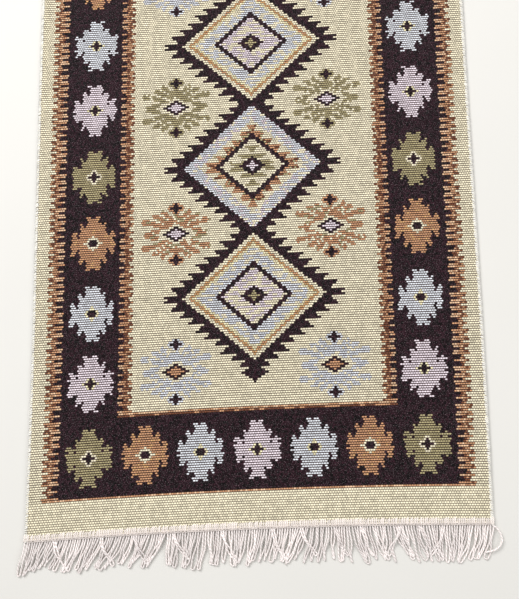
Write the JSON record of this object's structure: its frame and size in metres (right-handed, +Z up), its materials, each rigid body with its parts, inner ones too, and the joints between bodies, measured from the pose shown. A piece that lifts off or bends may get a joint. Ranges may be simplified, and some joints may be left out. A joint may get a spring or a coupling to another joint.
{
  "type": "table runner",
  "caption": "Long double-faced woven kilim table runner with a geometric pattern, overlocked long edges and a twisted-cord fringe at each end.",
  "frame": {"origin": "under the middle of the runner, on the surface that it lies on", "axes": "+Z up, out of the face side; Y along the runner, with the front end at -Y; X across it"},
  "size_m": [0.4126, 1.906, 0.0033],
  "materials": {
    "jacquard_cloth": "matte double-faced cotton weave in ecru, dark maroon, brown, olive, silver-blue and lavender",
    "overlock_yarn": "matte ecru yarn overlocked round the edge",
    "heading_weave": "matte pale cotton head of the fringe",
    "stitch_thread": "pale twisted sewing thread",
    "fringe_cotton": "pale pinkish-white twisted cotton cord"
  },
  "bodies": {
    "middle": {"middle_cloth": "jacquard_cloth", "middle_left_overlock": "overlock_yarn", "middle_right_overlock": "overlock_yarn"},
    "front_end": {"front_cloth": "jacquard_cloth", "front_left_overlock": "overlock_yarn", "front_right_overlock": "overlock_yarn", "front_heading": "heading_weave", "front_heading_stitch": "stitch_thread"},
    "front_fringe": {"front_tuft_01": "fringe_cotton", "front_tuft_02": "fringe_cotton", "front_tuft_03": "fringe_cotton", "front_tuft_04": "fringe_cotton", "front_tuft_05": "fringe_cotton", "front_tuft_06": "fringe_cotton", "front_tuft_07": "fringe_cotton", "front_tuft_08": "fringe_cotton", "front_tuft_09": "fringe_cotton", "front_tuft_10": "fringe_cotton", "front_tuft_11": "fringe_cotton", "front_tuft_12": "fringe_cotton", "front_tuft_13": "fringe_cotton", "front_tuft_14": "fringe_cotton", "front_tuft_15": "fringe_cotton", "front_tuft_16": "fringe_cotton", "front_tuft_17": "fringe_cotton", "front_tuft_18": "fringe_cotton", "front_tuft_19": "fringe_cotton", "front_tuft_20": "fringe_cotton", "front_tuft_21": "fringe_cotton", "front_tuft_22": "fringe_cotton", "front_tuft_23": "fringe_cotton"},
    "back_end": {"back_cloth": "jacquard_cloth", "back_left_overlock": "overlock_yarn", "back_right_overlock": "overlock_yarn", "back_heading": "heading_weave", "back_heading_stitch": "stitch_thread"},
    "back_fringe": {"back_tuft_01": "fringe_cotton", "back_tuft_02": "fringe_cotton", "back_tuft_03": "fringe_cotton", "back_tuft_04": "fringe_cotton", "back_tuft_05": "fringe_cotton", "back_tuft_06": "fringe_cotton", "back_tuft_07": "fringe_cotton", "back_tuft_08": "fringe_cotton", "back_tuft_09": "fringe_cotton", "back_tuft_10": "fringe_cotton", "back_tuft_11": "fringe_cotton", "back_tuft_12": "fringe_cotton", "back_tuft_13": "fringe_cotton", "back_tuft_14": "fringe_cotton", "back_tuft_15": "fringe_cotton", "back_tuft_16": "fringe_cotton", "back_tuft_17": "fringe_cotton", "back_tuft_18": "fringe_cotton", "back_tuft_19": "fringe_cotton", "back_tuft_20": "fringe_cotton", "back_tuft_21": "fringe_cotton", "back_tuft_22": "fringe_cotton", "back_tuft_23": "fringe_cotton"}
  },
  "joints": [
    {"name": "front_drop", "type": "hinge", "parent": "middle", "child": "front_end", "pos_m": [0, -0.72, 0], "axis": [1, 0, 0], "range_deg": [0, 90]},
    {"name": "front_fringe_hang", "type": "hinge", "parent": "front_end", "child": "front_fringe", "pos_m": [0, -0.92, 0], "axis": [1, 0, 0], "range_deg": [0, 90]},
    {"name": "back_drop", "type": "hinge", "parent": "middle", "child": "back_end", "pos_m": [0, 0.72, 0], "axis": [-1, 0, 0], "range_deg": [0, 90]},
    {"name": "back_fringe_hang", "type": "hinge", "parent": "back_end", "child": "back_fringe", "pos_m": [0, 0.92, 0], "axis": [-1, 0, 0], "range_deg": [0, 90]}
  ]
}
